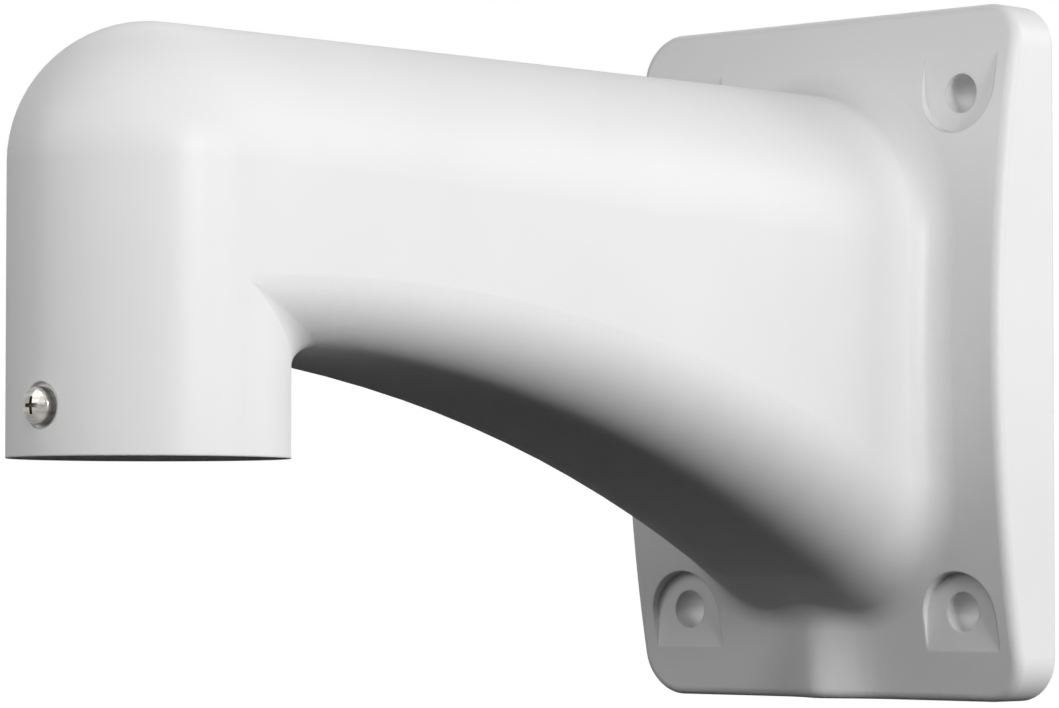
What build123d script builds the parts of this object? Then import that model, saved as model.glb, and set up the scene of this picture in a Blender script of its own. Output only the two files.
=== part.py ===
from build123d import *
import math
import os

# Camera wall bracket: a cast wall plate carries a hollow tapering arm that turns down into a
# pipe-thread socket. Millimetres. The origin is the centre of the plate's flat back, which lies
# on the wall at y = 0. The arm reaches out along -Y, +Z is up, and both halves in X are alike.

# Wall plate
plate_width = 114.0
plate_height = 160.0
plate_corner_radius = 10.0
plate_edge_depth = 11.5        # wall to front face, at the top and bottom edges
plate_middle_depth = 20.9      # wall to front face, at mid-height
plate_edge_fillet = 2.2
pocket_rim = 4.5               # rim round the hollow back
pocket_corner_radius = 6.0

# Wall screw holes and their flat seats
hole_spacing_x = 83.0
hole_spacing_z = 119.0
hole_diameter = 9.0
seat_depth = 14.0              # wall to seat
seat_radius = 10.4
seat_shift = 1.2               # seat's centre outboard of the hole
boss_diameter = 23.0

# Arm
arm_top = 61.2                 # height of the arm's level back
arm_half_width_wall = 37.8
underside_start = -2.9         # height of the underside on the socket's axis
underside_drop = 67.0677       # from there to the wall, in an arc centred below the socket
lower_round_socket = 11.6
lower_round_wall = 26.0
root_fillet = 7.0

# Socket for the camera's pipe thread
socket_reach = 226.5           # wall to socket axis
socket_radius = 28.7           # also the arm's half width there
socket_rim = -27.1             # height of the lower rim
socket_back_fillet = 6.0
thread_radius = 23.9           # G 1 1/2 inside thread, measured at its root
thread_length = 21.0
thread_chamfer = 0.8

# Casting
wall = 4.0
rib_thickness = 3.0
rib_setback = 1.0              # ribs stop short of the wall
rib_pitch = 28.0               # level ribs, either side of one at mid-height
rib_offset = 20.0              # upright ribs, from the middle

# Cable way out of the plate's lower edge, under a swelling of the front face
notch_width = 16.0
notch_depth = 13.5
notch_overlap = 8.0            # how far it runs up into the arm's hollow
ridge_depth = 17.5             # wall to the swelling's crest at the lower edge
ridge_spread = 6.0             # half width between its steepest lines
ridge_top = -45.0              # height at which it dies out
ridge_taper = 1.5

# Lock screw, an M4 pan head
screw_rise = 10.0              # above the socket's rim
screw_diameter = 3.9
screw_length = 3.6             # under the head
screw_clearance = 0.1          # all round the shank
screw_head_diameter = 7.6
screw_head_edge = 2.4          # height of the head's straight side
screw_head_dome = 1.1
screw_head_round = 0.8
screw_slot_width = 0.8
screw_slot_span = 3.6
screw_slot_hub = 1.2           # side of the square where the slots cross
screw_slot_depth = 1.5
screw_slot_taper = 8.0         # degrees
screw_seat_diameter = 9.4
screw_seat_depth = 1.0

# Modelling steps
skin_run = 11.5                # aim for the straight runs between the arm's sections
hollow_run = 17.5              # and for those of its hollow
last_section = 32.0            # from the wall, clear of the fillet round the arm's root
blend_angles = 21              # sections of the fillet behind the socket
blend_end = 87.0               # degrees either side of the arm's line
blend_bite = 0.02              # how far its edges run under the skin that they meet
blend_sink = 1.5               # how deep its solid lies in the casting
cut_margin = 5.0               # how far cutting solids reach past what they cut
front_columns = 49             # points across the front face, and upright
front_rows = 25
front_tolerance = 0.01
front_degrees = (3, 5)         # least and greatest degree of its surface
slope_step = 0.01              # run over which a skin's slope is measured
touch_tolerance = 0.001        # to which a fillet's edge is found
seam_reach = 1.0               # how far past the front face the arm's seam is looked for


def plate_front(z):
    """Distance of the bowed front face from the wall at height z."""
    bow = plate_middle_depth - plate_edge_depth
    return plate_edge_depth + bow * (1 - (2 * z / plate_height) ** 2)


def ridge_rise(x, z):
    """How far the swelling over the cable way stands out of the bowed face."""
    share = max(0.0, (ridge_top - z) / (ridge_top + plate_height / 2))
    crest = (ridge_depth - plate_edge_depth) * share**ridge_taper
    return crest * math.exp(-((x / ridge_spread) ** 2) / 2)


def along_arm(y, at_socket, at_wall):
    """A size that grows evenly from the socket's axis to the wall."""
    return at_socket + (at_wall - at_socket) * (y + socket_reach) / socket_reach


def half_width(y):
    return along_arm(y, socket_radius, arm_half_width_wall)


def lower_round(y):
    return along_arm(y, lower_round_socket, lower_round_wall)


def underside(y):
    """Height of the arm's arched underside."""
    radius = (socket_reach**2 + underside_drop**2) / (2 * underside_drop)
    return underside_start - radius + math.sqrt(radius**2 - (y + socket_reach) ** 2)


def run_count(run):
    """How many equal straight runs the arm has before its last section."""
    return round((socket_reach - last_section) / run)


def straight_underside(y):
    """Height of the underside where it runs straight between two sections."""
    step = (socket_reach - last_section) / run_count(skin_run)
    start = math.floor((y + socket_reach) / step) * step - socket_reach
    first, second = underside(start), underside(start + step)
    return first + (second - first) * (y - start) / step


def lower_skin(x, y):
    """Height of the arm's lower skin, with its rounded edges, and all but upright past its sides."""
    r = lower_round(y)
    side = half_width(y)
    beyond = min(max(0.0, abs(x) - (side - r)), r)
    past = max(0.0, abs(x) - side)
    return straight_underside(y) + r - math.sqrt(r**2 - beyond**2) + past / slope_step


def spread(start, end, count):
    """Evenly spaced values from start to end."""
    return [start + (end - start) * i / (count - 1) for i in range(count)]


def socket_plane(turn=90.0):
    """Upright plane through the socket's axis, turned in degrees from the arm's line."""
    across, along = math.sin(math.radians(turn)), math.cos(math.radians(turn))
    return Plane((0, -socket_reach, 0), x_dir=(across, along, 0), z_dir=(along, -across, 0))


def outline(inset, radius, near, far):
    """Rounded plate outline, drawn in by inset, from near to far in front of the wall."""
    shape = RectangleRounded(plate_width - 2 * inset, plate_height - 2 * inset, radius)
    return extrude(Plane((0, -near, 0), x_dir=(1, 0, 0), z_dir=(0, -1, 0)) * shape, amount=far - near)


def sculpted_front():
    """Everything behind the front face, with its bow and the swelling over the cable way."""
    half_x = plate_width / 2 + cut_margin
    half_z = plate_height / 2 + cut_margin
    grid = [
        [Vector(x, -plate_front(z) - ridge_rise(x, z), z) for x in spread(-half_x, half_x, front_columns)]
        for z in spread(-half_z, half_z, front_rows)
    ]
    low, high = front_degrees
    face = Face.make_surface_from_array_of_points(grid, tol=front_tolerance, min_deg=low, max_deg=high)
    return extrude(face, amount=ridge_depth + plate_middle_depth, dir=(0, 1, 0))


def plate_blank():
    """Wall plate without its arm, holes and hollow back."""
    return outline(0, plate_corner_radius, 0, ridge_depth + plate_middle_depth) & sculpted_front()


def front_edges(blank):
    """Edges round the front face."""
    return blank.faces().sort_by(Axis.Y)[0].outer_wire().edges()


def arm_section(y, inset):
    """Arm section at y: round back, upright sides, level underside with rounded edges."""
    w = half_width(y) - inset
    top = arm_top - inset
    bottom = underside(y) + inset
    r = lower_round(y) - inset
    shoulder = top - w
    bulge = r * (1 - math.sqrt(0.5))
    edges = [
        Line((-w + r, bottom), (w - r, bottom)),
        ThreePointArc((w - r, bottom), (w - bulge, bottom + bulge), (w, bottom + r)),
        Line((w, bottom + r), (w, shoulder)),
        ThreePointArc((w, shoulder), (0, top), (-w, shoulder)),
        Line((-w, shoulder), (-w, bottom + r)),
        ThreePointArc((-w, bottom + r), (-w + bulge, bottom + bulge), (-w + r, bottom)),
    ]
    return Plane((0, y, 0), x_dir=(1, 0, 0), z_dir=(0, -1, 0)) * make_face(edges)


def arm_loft(inset, run):
    """Arm from the socket's axis to the wall, drawn in by inset and straight between sections."""
    places = spread(-socket_reach, -last_section, run_count(run) + 1) + [0.0]
    return loft([arm_section(y, inset) for y in places], ruled=True)


def socket_outside():
    """Upright cylinder with a round top."""
    shoulder = arm_top - socket_radius
    profile = [
        Line((0, socket_rim), (socket_radius, socket_rim)),
        Line((socket_radius, socket_rim), (socket_radius, shoulder)),
        RadiusArc((socket_radius, shoulder), (0, arm_top), -socket_radius),
        Line((0, arm_top), (0, socket_rim)),
    ]
    return revolve(socket_plane() * make_face(profile), Axis((0, -socket_reach, 0), (0, 0, 1)))


def socket_inside():
    """Thread bore, the wider elbow above it and the elbow's round top."""
    inner = socket_radius - wall
    top = arm_top - wall
    thread_end = socket_rim + thread_length
    mouth = thread_radius + thread_chamfer
    corners = [
        (0, socket_rim - cut_margin),
        (mouth, socket_rim - cut_margin),
        (mouth, socket_rim),
        (thread_radius, socket_rim + thread_chamfer),
        (thread_radius, thread_end),
        (inner, thread_end + inner - thread_radius),
        (inner, top - inner),
    ]
    profile = [Line(a, b) for a, b in zip(corners, corners[1:])]
    profile.append(RadiusArc(corners[-1], (0, top), -inner))
    profile.append(Line((0, top), corners[0]))
    return revolve(socket_plane() * make_face(profile), Axis((0, -socket_reach, 0), (0, 0, 1)))


def skin_beside(turn, out):
    """Height and slope of the arm's lower skin at a distance from the socket's axis."""
    across, along = math.sin(math.radians(turn)), math.cos(math.radians(turn))
    heights = [
        lower_skin(reach * across, reach * along - socket_reach)
        for reach in (out - slope_step, out, out + slope_step)
    ]
    return heights[1], math.atan2(heights[2] - heights[0], 2 * slope_step)


def blend_touch(turn):
    """Where an arc that leaves the socket upright meets the arm's lower skin along its slope."""
    near, far = 0.0, 2 * socket_back_fillet
    while far - near > touch_tolerance:
        run = (near + far) / 2
        height, slope = skin_beside(turn, socket_radius + run)
        half_arc = (math.pi / 2 - slope) / 2
        radius = run / math.cos(slope) / math.tan(half_arc)
        near, far = (run, far) if radius < socket_back_fillet else (near, run)
    return run, height, slope, half_arc


def blend_section(turn):
    """Section of the fillet between the back of the socket and the arm's lower skin."""
    run, height, slope, half_arc = blend_touch(turn)
    leg = run / math.cos(slope)
    radius = leg / math.tan(half_arc)
    corner = (socket_radius - blend_bite, height - run * math.tan(slope) + blend_bite * math.tan(half_arc))
    near = (corner[0], corner[1] - leg)
    far = (corner[0] + run, corner[1] + run * math.tan(slope))
    middle = (corner[0] + radius * (1 - math.cos(half_arc)), near[1] + radius * math.sin(half_arc))
    sunk = (far[0] - blend_sink * math.sin(slope), far[1] + blend_sink * math.cos(slope))
    core = socket_radius - 2 * blend_sink
    path = [far, sunk, (core, sunk[1]), (core, near[1]), near]
    edges = [ThreePointArc(near, middle, far)] + [Line(a, b) for a, b in zip(path, path[1:])]
    return socket_plane(turn) * make_face(edges)


def socket_blend():
    return loft([blend_section(turn) for turn in spread(-blend_end, blend_end, blend_angles)])


def casting_outside():
    blank = plate_blank()
    blank = fillet(front_edges(blank), plate_edge_fillet)
    arm = arm_loft(0, skin_run) + socket_outside() + socket_blend()
    body = blank + arm
    seam = [
        e
        for e in body.edges()
        if abs(e.center().X) < arm_half_width_wall
        and -plate_middle_depth - seam_reach < e.center().Y < -plate_edge_depth
        and abs(e.center().Z) < plate_height / 2 - plate_corner_radius
    ]
    return fillet(seam, root_fillet)


def hole_places():
    return [(sx * hole_spacing_x / 2, sz * hole_spacing_z / 2) for sx in (-1, 1) for sz in (-1, 1)]


def rod(x, z, diameter, near, far):
    """Cylinder square to the wall, from near to far in front of it."""
    plane = Plane((x, -near, z), x_dir=(1, 0, 0), z_dir=(0, -1, 0))
    return extrude(plane * Circle(diameter / 2), amount=far - near)


def seat_cut(x, z):
    """Flat seat for a wall screw's head, open towards the nearer end of the plate."""
    centre = z + math.copysign(seat_shift, z)
    reach = plate_height / 2
    far = ridge_depth + plate_middle_depth
    shape = Circle(seat_radius) + Pos(0, math.copysign(reach / 2, z)) * Rectangle(2 * seat_radius, reach)
    plane = Plane((x, -seat_depth, centre), x_dir=(1, 0, 0), z_dir=(0, -1, 0))
    return extrude(plane * shape, amount=far - seat_depth)


def pocket():
    """Hollow back of the plate, around its bosses and ribs."""
    half = plate_height / 2
    edge = plate_edge_depth - wall
    peak = edge + 2 * (plate_middle_depth - plate_edge_depth)
    profile = [
        Bezier((-edge, -half), (-peak, 0), (-edge, half)),
        Line((-edge, half), (cut_margin, half)),
        Line((cut_margin, half), (cut_margin, -half)),
        Line((cut_margin, -half), (-edge, -half)),
    ]
    behind = extrude(Plane.YZ * make_face(profile), amount=plate_width, both=True)
    void = behind & outline(pocket_rim, pocket_corner_radius, -cut_margin, plate_middle_depth)
    for x, z in hole_places():
        void -= rod(x, z, boss_diameter, 0, plate_middle_depth)
        void -= rib(x, z, rib_thickness, plate_height - abs(2 * z))
    for z in (-rib_pitch, 0, rib_pitch):
        void -= rib(0, z, plate_width, rib_thickness)
    for x in (-rib_offset, rib_offset):
        void -= rib(x, 0, rib_thickness, plate_height)
    return void


def rib(x, z, size_x, size_z):
    """Block that leaves a rib in the hollow back."""
    depth = plate_middle_depth - rib_setback
    return Pos(x, -rib_setback - depth / 2, z) * Box(size_x, depth, size_z)


def cable_way():
    """Channel from the arm's hollow down through the plate's lower edge, open to the wall."""
    radius = notch_width / 2
    low = -plate_height / 2 - cut_margin
    high = underside(-notch_depth) + notch_overlap
    shape = Pos(0, radius - notch_depth) * Circle(radius)
    depth = notch_depth - radius + cut_margin
    shape += Pos(0, cut_margin - depth / 2) * Rectangle(notch_width, depth)
    return extrude(Plane((0, 0, low)) * shape, amount=high - low)


def screw_place():
    """Height of the lock screw and the distance of its seat from the wall."""
    return socket_rim + screw_rise, socket_reach + socket_radius - screw_seat_depth


def screw_hole():
    z, seat = screw_place()
    bore = rod(0, z, screw_diameter + 2 * screw_clearance, socket_reach, seat)
    return bore + rod(0, z, screw_seat_diameter, seat, seat + cut_margin)


def bracket_body():
    body = casting_outside()
    body -= arm_loft(wall, hollow_run)
    body -= socket_inside()
    body -= pocket()
    body -= cable_way()
    for x, z in hole_places():
        body -= seat_cut(x, z)
        body -= rod(x, z, hole_diameter, -cut_margin, plate_middle_depth + cut_margin)
    body -= screw_hole()
    return body


def lock_screw():
    """Pan-head screw with a cross recess, its axis along Y."""
    z, seat = screw_place()
    shank = screw_diameter / 2
    head = screw_head_diameter / 2
    rim = seat + screw_head_edge
    top = rim + screw_head_dome
    profile = [
        Line((0, screw_length - seat), (shank, screw_length - seat)),
        Line((shank, screw_length - seat), (shank, -seat)),
        Line((shank, -seat), (head, -seat)),
        Line((head, -seat), (head, -rim)),
        RadiusArc((head, -rim), (0, -top), (head**2 + screw_head_dome**2) / (2 * screw_head_dome)),
        Line((0, -top), (0, screw_length - seat)),
    ]
    screw = revolve(Plane((0, 0, z)) * make_face(profile), Axis((0, 0, z), (0, 1, 0)))
    brim = screw.edges().filter_by_position(Axis.Y, -rim - touch_tolerance, -rim + touch_tolerance)
    screw = fillet(brim, screw_head_round)
    cross = Rectangle(screw_slot_span, screw_slot_width) + Rectangle(screw_slot_width, screw_slot_span)
    cross += Rot(0, 0, 45) * Rectangle(screw_slot_hub, screw_slot_hub)
    plane = Plane((0, -top, z), x_dir=(1, 0, 0), z_dir=(0, 1, 0))
    return screw - extrude(plane * cross, amount=screw_slot_depth, taper=screw_slot_taper)


if __name__ == "__main__":
    os.makedirs("parts", exist_ok=True)
    export_step(bracket_body(), "parts/bracket_body.step")
    export_step(lock_screw(), "parts/lock_screw.step")
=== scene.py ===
import math

import bmesh
import bpy
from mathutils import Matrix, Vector


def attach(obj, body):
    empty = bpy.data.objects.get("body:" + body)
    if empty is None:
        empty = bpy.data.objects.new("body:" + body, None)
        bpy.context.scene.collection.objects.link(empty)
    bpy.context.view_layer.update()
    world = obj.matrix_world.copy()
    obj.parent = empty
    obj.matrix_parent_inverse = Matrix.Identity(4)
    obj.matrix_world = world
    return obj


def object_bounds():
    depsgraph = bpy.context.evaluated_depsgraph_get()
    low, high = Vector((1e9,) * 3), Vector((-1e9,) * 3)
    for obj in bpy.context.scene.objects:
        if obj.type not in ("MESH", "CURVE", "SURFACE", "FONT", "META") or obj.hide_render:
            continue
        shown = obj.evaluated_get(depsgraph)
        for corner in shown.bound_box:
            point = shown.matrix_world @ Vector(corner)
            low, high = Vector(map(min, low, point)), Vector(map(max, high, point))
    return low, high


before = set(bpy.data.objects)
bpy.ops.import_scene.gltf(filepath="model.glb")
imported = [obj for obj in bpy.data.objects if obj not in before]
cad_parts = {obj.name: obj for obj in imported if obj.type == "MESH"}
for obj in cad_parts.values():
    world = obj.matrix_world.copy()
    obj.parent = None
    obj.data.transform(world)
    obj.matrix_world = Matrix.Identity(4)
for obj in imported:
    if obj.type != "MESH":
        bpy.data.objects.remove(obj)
cad_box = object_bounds()

# Camera, solved on the photograph's plate, holes, socket and arm outline
PHOTO_WIDTH = 1059
FOCAL_PIXELS = 4580.574
SENSOR = 36.0
CAMERA_PLACE = Vector((0.687932, -0.84565, -0.04677))
CAMERA_TURN = math.radians(43.258)       # from +Y towards -X
CAMERA_RISE = math.radians(2.529)        # looking up
CLIP_START = 0.01

# Soft lamps round the arm
ARM_MIDDLE = Vector((0, -0.12, 0))
LAMPS = {
    # name: bearing, rise, distance, size, strength
    "key": (80, 11, 1.6, 0.42, 12.4),
    "right_rear": (105, 10, 1.6, 0.5, 6.4),
    "rear": (150, 18, 1.6, 0.8, 8.8),
    "left": (-30, 20, 1.6, 0.8, 5.4),
    "near": (45, 30, 0.7, 0.4, 0.8),
    "front": (0, 20, 0.7, 0.4, 0.9),
    "back": (235, 42, 1.6, 0.8, 9.0),
}

# White powder coat: noise scales are waves to the metre, and bumps are (height, strength)
COAT_GLOSS = 0.032                       # an even gloss, with no bright edge reflection
COAT_THICKNESS = 0.0007                  # it rounds the casting's edges this much
COAT_TONES = ((0.80, 0.80, 0.80), (0.825, 0.825, 0.825))
COAT_ROUGHNESS = (0.34, 0.42)
BEVEL_SAMPLES = 6
PATCH_SCALE = 26
PATCH_RANGE = (0.3, 0.7)
PEEL_SCALE = 520
PEEL_ROUGHNESS = 0.4
PEEL_BUMP = (0.00004, 0.35)
GRAIN_SCALE = 2200
GRAIN_BUMP = (0.00001, 0.3)

# Stainless steel
STEEL_DARK = (0.23, 0.22, 0.205)
STEEL_PALE = (0.42, 0.405, 0.38)
STEEL_ROUGHNESS = (0.16, 0.26)
REFLECTION_BAND_STRETCH = (0.15, 0.15, 1.0)       # painted reflection bands, long along the level, fine upright
REFLECTION_BAND_SCALE = 900
REFLECTION_BAND_RANGE = (0.35, 0.65)
SMUDGE_SCALE = 420
SMUDGE_RANGE = (0.3, 0.7)
POLISH_SCALE = 3000
POLISH_BUMP = (0.000004, 0.3)

# Pipe thread, 11 turns to the inch, on the socket's bore
THREAD_PITCH = 0.0254 / 11
THREAD_ROOT = 0.0239
THREAD_CREST = 0.02245
THREAD_CREST_FLAT = 0.17                 # share of the pitch
THREAD_ROOT_FLAT = 0.10
THREAD_ROUND = 0.00008                   # how much the corners of its profile give way
THREAD_CORNER = 0.12                     # share of a flank that a corner takes
THREAD_CREST_CORNER = 0.3                # share of the crest's flat
THREAD_SINK = 0.0002                     # how far the ridge's foot lies in the wall
THREAD_STEPS = 72                        # to a turn
THREAD_FADE = THREAD_STEPS / 3           # steps that an end takes to fade out
SOCKET_REACH = 0.2265
THREAD_LOW = -0.0263
THREAD_HIGH = -0.0065

# Floor
FLOOR_DROP = 0.12                        # below the plate's lower edge
FLOOR_SIZE = 8.0
FLOOR_TONE = 0.8
FLOOR_DIM_TONE = 0.02                    # what it is for light that falls on the object
FLOOR_GLOW = (0.3, 1.0)                  # near the object, where its shadow falls, and far from it
FLOOR_FADE = (0.2, 1.6)                  # between these distances it turns wholly white


def make_camera():
    data = bpy.data.cameras.new("camera")
    data.sensor_width = SENSOR
    data.lens = FOCAL_PIXELS / PHOTO_WIDTH * SENSOR
    data.clip_start = CLIP_START
    camera = bpy.data.objects.new("camera", data)
    level = math.cos(CAMERA_RISE)
    across = -math.sin(CAMERA_TURN) * level
    along = math.cos(CAMERA_TURN) * level
    ahead = Vector((across, along, math.sin(CAMERA_RISE)))
    camera.location = CAMERA_PLACE
    camera.rotation_euler = ahead.to_track_quat("-Z", "Y").to_euler()
    bpy.context.collection.objects.link(camera)
    bpy.context.scene.camera = camera


def lamp(name, bearing, rise, distance, size, strength):
    """Square soft lamp. Bearing turns from -Y towards +X, and rise is above the level, in degrees."""
    a = math.radians(bearing)
    e = math.radians(rise)
    way = Vector((math.sin(a) * math.cos(e), -math.cos(a) * math.cos(e), math.sin(e)))
    data = bpy.data.lights.new(name, "AREA")
    data.shape = "SQUARE"
    data.size = size
    data.energy = strength
    light = bpy.data.objects.new(name, data)
    light.location = ARM_MIDDLE + way * distance
    light.rotation_euler = (-way).to_track_quat("-Z", "Y").to_euler()
    bpy.context.collection.objects.link(light)


def shader(material):
    """Node tree of a material and its Principled shader."""
    material.use_nodes = True
    tree = material.node_tree
    return tree, tree.nodes["Principled BSDF"]


def add(tree, kind, **values):
    node = tree.nodes.new("ShaderNode" + kind)
    for key, value in values.items():
        setattr(node, key, value)
    return node


def noise(tree, scale, detail=4.0, roughness=0.5, stretch=None):
    coordinates = add(tree, "TexCoord").outputs["Object"]
    if stretch is not None:
        mapping = add(tree, "Mapping")
        mapping.inputs["Scale"].default_value = stretch
        tree.links.new(coordinates, mapping.inputs["Vector"])
        coordinates = mapping.outputs["Vector"]
    texture = add(tree, "TexNoise")
    texture.inputs["Scale"].default_value = scale
    texture.inputs["Detail"].default_value = detail
    texture.inputs["Roughness"].default_value = roughness
    tree.links.new(coordinates, texture.inputs["Vector"])
    return texture.outputs["Fac"]


def between(tree, factor, low, high, start=0.0, end=1.0):
    """Factor from start to end becomes low to high."""
    node = add(tree, "MapRange")
    tree.links.new(factor, node.inputs["Value"])
    node.inputs["From Min"].default_value = start
    node.inputs["From Max"].default_value = end
    node.inputs["To Min"].default_value = low
    node.inputs["To Max"].default_value = high
    return node.outputs["Result"]


def colours(tree, factor, first, second):
    node = add(tree, "Mix", data_type="RGBA")
    tree.links.new(factor, node.inputs["Factor"])
    node.inputs["A"].default_value = (*first, 1)
    node.inputs["B"].default_value = (*second, 1)
    return node.outputs["Result"]


def bump(tree, height, distance, strength, below=None):
    node = add(tree, "Bump")
    node.inputs["Distance"].default_value = distance
    node.inputs["Strength"].default_value = strength
    tree.links.new(height, node.inputs["Height"])
    if below is not None:
        tree.links.new(below, node.inputs["Normal"])
    return node.outputs["Normal"]


def powder_coat():
    """White polyester powder: faint orange peel, a fine grain and a trace of tone between patches."""
    material = bpy.data.materials.new("white_powder_coat")
    tree, principled = shader(material)
    patches = noise(tree, PATCH_SCALE, 3)
    tone = colours(tree, between(tree, patches, 0, 1, *PATCH_RANGE), *COAT_TONES)
    tree.links.new(tone, principled.inputs["Base Color"])
    grain = noise(tree, GRAIN_SCALE, 2)
    tree.links.new(between(tree, grain, *COAT_ROUGHNESS), principled.inputs["Roughness"])
    rounded = add(tree, "Bevel", samples=BEVEL_SAMPLES)
    rounded.inputs["Radius"].default_value = COAT_THICKNESS
    peel = bump(tree, noise(tree, PEEL_SCALE, 2, PEEL_ROUGHNESS), *PEEL_BUMP, rounded.outputs["Normal"])
    tree.links.new(bump(tree, grain, *GRAIN_BUMP, peel), principled.inputs["Normal"])
    principled.inputs["Specular IOR Level"].default_value = 0.0
    principled.inputs["Metallic"].default_value = COAT_GLOSS
    return material


def stainless():
    """Polished stainless steel, with reflections painted into its colour as faint level bands, and a
    little tarnish.
    """
    material = bpy.data.materials.new("stainless_steel")
    tree, principled = shader(material)
    principled.inputs["Metallic"].default_value = 1.0
    # Painted reflection: level bands of darker and paler base colour stand in for the surroundings
    # mirrored in the steel
    painted_reflection_bands = noise(tree, REFLECTION_BAND_SCALE, 3, stretch=REFLECTION_BAND_STRETCH)
    tone = colours(tree, between(tree, painted_reflection_bands, 0, 1, *REFLECTION_BAND_RANGE), STEEL_DARK, STEEL_PALE)
    tree.links.new(tone, principled.inputs["Base Color"])
    smudge = noise(tree, SMUDGE_SCALE, 3)
    dull = between(tree, smudge, *STEEL_ROUGHNESS, *SMUDGE_RANGE)
    tree.links.new(dull, principled.inputs["Roughness"])
    tree.links.new(bump(tree, noise(tree, POLISH_SCALE, 2), *POLISH_BUMP), principled.inputs["Normal"])
    return material


def thread_profile():
    """Rounded V of a pipe thread: (share of a pitch, radius) along one turn."""
    root = THREAD_ROOT + THREAD_SINK
    flank = (1 - THREAD_ROOT_FLAT - THREAD_CREST_FLAT) / 2
    corner = flank * THREAD_CORNER
    top = flank + THREAD_CREST_FLAT
    crest_corner = THREAD_CREST_FLAT * THREAD_CREST_CORNER
    return [
        (0.0, root),
        (corner, THREAD_ROOT - THREAD_ROUND),
        (flank - corner, THREAD_CREST + THREAD_ROUND),
        (flank + crest_corner, THREAD_CREST),
        (top - crest_corner, THREAD_CREST),
        (top + corner, THREAD_CREST + THREAD_ROUND),
        (top + flank - corner, THREAD_ROOT - THREAD_ROUND),
        (top + flank, root),
    ]


def pipe_thread(material):
    """Helical ridge inside the socket, fading out at both ends."""
    mesh = bmesh.new()
    turns = (THREAD_HIGH - THREAD_LOW) / THREAD_PITCH - 1
    count = int(turns * THREAD_STEPS)
    foot = THREAD_ROOT + THREAD_SINK
    rows = []
    for i in range(count + 1):
        angle = 2 * math.pi * i / THREAD_STEPS
        share = min(1.0, i / THREAD_FADE, (count - i) / THREAD_FADE)
        base = THREAD_LOW + THREAD_PITCH * i / THREAD_STEPS
        row = []
        for along, radius in thread_profile():
            r = foot - (foot - radius) * share
            x = r * math.cos(angle)
            y = r * math.sin(angle) - SOCKET_REACH
            row.append(mesh.verts.new((x, y, base + along * THREAD_PITCH)))
        rows.append(row)
    for first, second in zip(rows, rows[1:]):
        for k in range(len(first) - 1):
            mesh.faces.new((first[k], second[k], second[k + 1], first[k + 1]))
    data = bpy.data.meshes.new("pipe_thread")
    mesh.normal_update()
    mesh.to_mesh(data)
    mesh.free()
    for polygon in data.polygons:
        polygon.use_smooth = True
    thread = bpy.data.objects.new("pipe_thread", data)
    bpy.context.collection.objects.link(thread)
    thread.data.materials.append(material)
    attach(thread, "root")


def paint(node, material):
    for place in node.material_slots:
        place.material = material
    if not node.material_slots:
        node.data.materials.append(material)


def seen(tree):
    """1 where a ray comes from the camera, a gloss or a glass, and 0 for light on the object."""
    path = add(tree, "LightPath")
    total = path.outputs["Is Camera Ray"]
    for name in ("Is Glossy Ray", "Is Transmission Ray"):
        node = add(tree, "Math", operation="MAXIMUM")
        tree.links.new(total, node.inputs[0])
        tree.links.new(path.outputs[name], node.inputs[1])
        total = node.outputs[0]
    return total


def make_world():
    """White round about, which lights nothing: the lamps do."""
    world = bpy.data.worlds.new("studio")
    bpy.context.scene.world = world
    world.use_nodes = True
    tree = world.node_tree
    tree.nodes.clear()
    white = add(tree, "Background")
    white.inputs["Color"].default_value = (1, 1, 1, 1)
    tree.links.new(seen(tree), white.inputs["Strength"])
    out = add(tree, "OutputWorld")
    tree.links.new(white.outputs[0], out.inputs["Surface"])


def matt(tree, tone):
    node = add(tree, "BsdfDiffuse")
    node.inputs["Color"].default_value = (tone, tone, tone, 1)
    return node.outputs[0]


def floor_material():
    """Pale floor that shows white and keeps shadows, and throws little light up."""
    material = bpy.data.materials.new("floor")
    material.use_nodes = True
    tree = material.node_tree
    tree.nodes.clear()
    glow = add(tree, "Emission")
    place = add(tree, "TexCoord")
    reach = add(tree, "VectorMath", operation="LENGTH")
    tree.links.new(place.outputs["Object"], reach.inputs[0])
    strength = between(tree, reach.outputs["Value"], *FLOOR_GLOW, *FLOOR_FADE)
    tree.links.new(strength, glow.inputs["Strength"])
    shown = add(tree, "AddShader")
    tree.links.new(matt(tree, FLOOR_TONE), shown.inputs[0])
    tree.links.new(glow.outputs[0], shown.inputs[1])
    mix = add(tree, "MixShader")
    out = add(tree, "OutputMaterial")
    tree.links.new(seen(tree), mix.inputs["Fac"])
    tree.links.new(matt(tree, FLOOR_DIM_TONE), mix.inputs[1])
    tree.links.new(shown.outputs[0], mix.inputs[2])
    tree.links.new(mix.outputs[0], out.inputs["Surface"])
    return material


def make_floor():
    half = FLOOR_SIZE / 2
    level = cad_box[0][2] - FLOOR_DROP
    data = bpy.data.meshes.new("floor")
    corners = [(-half, -half, level), (half, -half, level), (half, half, level), (-half, half, level)]
    data.from_pydata(corners, [], [(0, 1, 2, 3)])
    data.materials.append(floor_material())
    floor = bpy.data.objects.new("floor", data)
    bpy.context.collection.objects.link(floor)


def main():
    bpy.context.scene.view_settings.view_transform = "Standard"
    make_camera()
    make_world()
    make_floor()
    for name, values in LAMPS.items():
        lamp(name, *values)
    coat = powder_coat()
    paint(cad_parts["bracket_body"], coat)
    paint(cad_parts["lock_screw"], stainless())
    pipe_thread(coat)


main()
